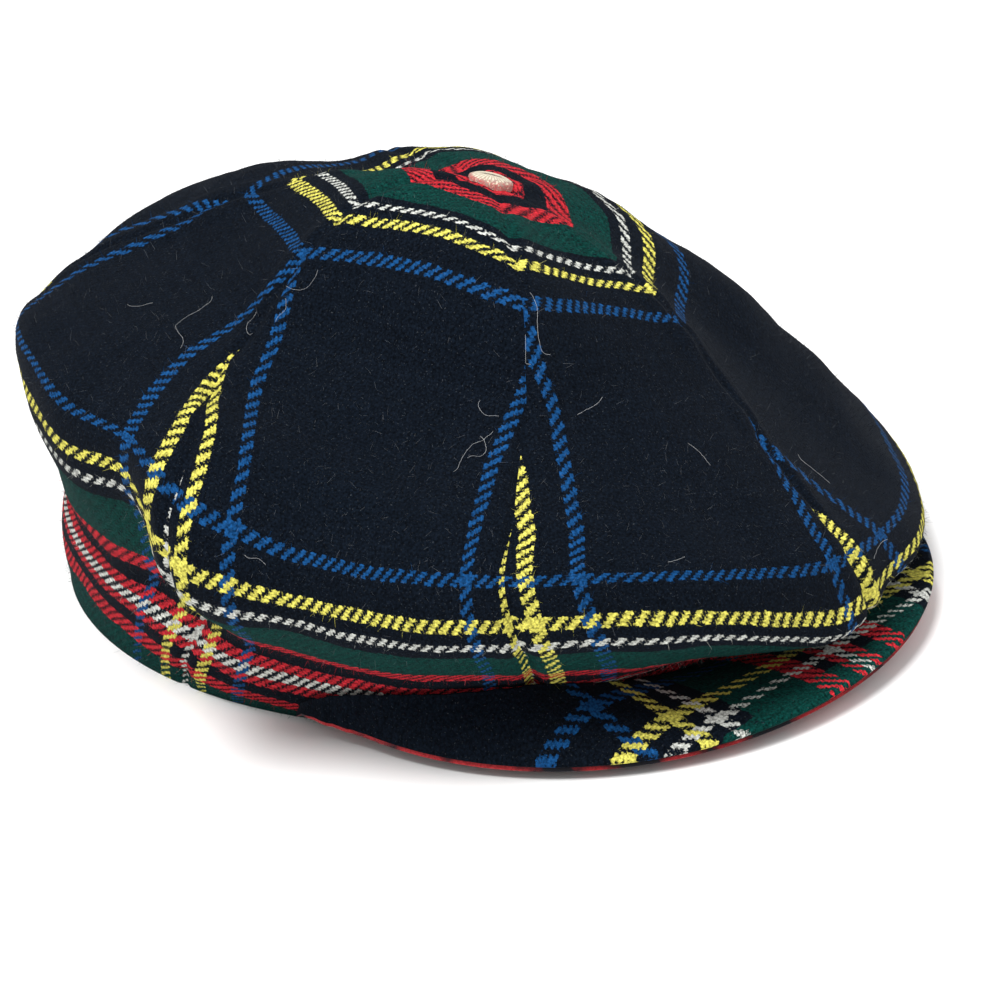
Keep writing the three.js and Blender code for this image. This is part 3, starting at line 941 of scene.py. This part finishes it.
def camera():
    """The photo's view, from the wearer's right front and above."""
    right = Vector((math.cos(VIEW_RIGHT), -math.sin(VIEW_RIGHT), 0))
    back = Vector(
        (
            -math.sin(VIEW_RIGHT) * math.cos(VIEW_ABOVE),
            -math.cos(VIEW_RIGHT) * math.cos(VIEW_ABOVE),
            math.sin(VIEW_ABOVE),
        )
    )
    up = back.cross(right)
    across = right * math.cos(VIEW_ROLL) + up * math.sin(VIEW_ROLL)
    above = up * math.cos(VIEW_ROLL) - right * math.sin(VIEW_ROLL)
    aim = Vector(HEAD_CENTRE * MM) + (across * AIM[0] + above * AIM[1]) * MM
    eye = bpy.data.objects.new("camera", bpy.data.cameras.new("camera"))
    eye.data.lens = LENS
    eye.data.sensor_width = SENSOR
    eye.data.clip_end = FAR_END
    turned = Matrix((across, above, back)).transposed().to_4x4()
    eye.matrix_world = Matrix.Translation(aim + back * VIEW_DISTANCE) @ turned
    bpy.context.collection.objects.link(eye)
    bpy.context.scene.camera = eye


def area_light(name, place, size, watts):
    """A square lamp that faces the origin."""
    lamp = bpy.data.objects.new(name, bpy.data.lights.new(name, "AREA"))
    lamp.data.size = size
    lamp.data.energy = watts
    lamp.location = place
    lamp.rotation_euler = (-Vector(place)).to_track_quat("-Z", "Y").to_euler()
    bpy.context.collection.objects.link(lamp)


def studio():
    """An even white sky, two lamps and the floor."""
    world = bpy.data.worlds.new("studio")
    world.use_nodes = True
    world.node_tree.nodes["Background"].inputs["Color"].default_value = (1, 1, 1, 1)
    world.node_tree.nodes["Background"].inputs["Strength"].default_value = SKY
    bpy.context.scene.world = world
    bpy.context.scene.view_settings.view_transform = "Standard"
    for lamp in LAMPS:
        area_light(*lamp)
    half = FLOOR_HALF
    corners = [(-half, -half, 0), (half, -half, 0), (half, half, 0), (-half, half, 0)]
    mesh = bpy.data.meshes.new("floor")
    mesh.from_pydata(corners, [], [(0, 1, 2, 3)])
    floor = bpy.data.objects.new("floor", mesh)
    bpy.context.collection.objects.link(floor)
    paint = Material("floor")
    paint.set(Base_Color=FLOOR_PAINT, Roughness=0.9, Specular_IOR_Level=0.1)
    mesh.materials.append(paint.material)


def main():
    """Builds the cap's pieces, hides the parts that they replace, and holds each on the root body."""
    camera()
    studio()
    twill = tartan("tartan_twill")
    nap = tartan("tartan_nap", nap=True)
    red_wool = plain_wool("red_wool", RED, RED_DARK_PATCHES)
    pieces = []
    for number, panel in enumerate(PANELS):
        cloth = crown_panel(panel, twill)
        fibres = panel_nap(panel, nap, NAP_SEED + number)
        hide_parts(panel)
        pieces += [(cloth, "tartan"), (fibres, "tartan")]
    thickness = PEAK_COVER + SEAM_GAP + PEAK_UNDER
    cover = peak_layer("peak_cloth", thickness / 2, thickness / 2 - PEAK_COVER, 0, twill)
    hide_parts("peak")
    under_top = PEAK_UNDER - thickness / 2
    under = peak_layer("peak_under_cloth", under_top, -thickness / 2, UNDER_CLOTH_INSET, red_wool)
    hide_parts("peak_under")
    button = covered_button(button_wool("button_wool"))
    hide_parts("button")
    hairs = stray_hairs(plain_wool("pale_hair", HAIR_COLOUR))
    pieces += [(cover, "tartan"), (under, "peak_under"), (button, "button"), (hairs, "tartan")]
    for piece, slot in pieces:
        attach(piece, "root")


main()
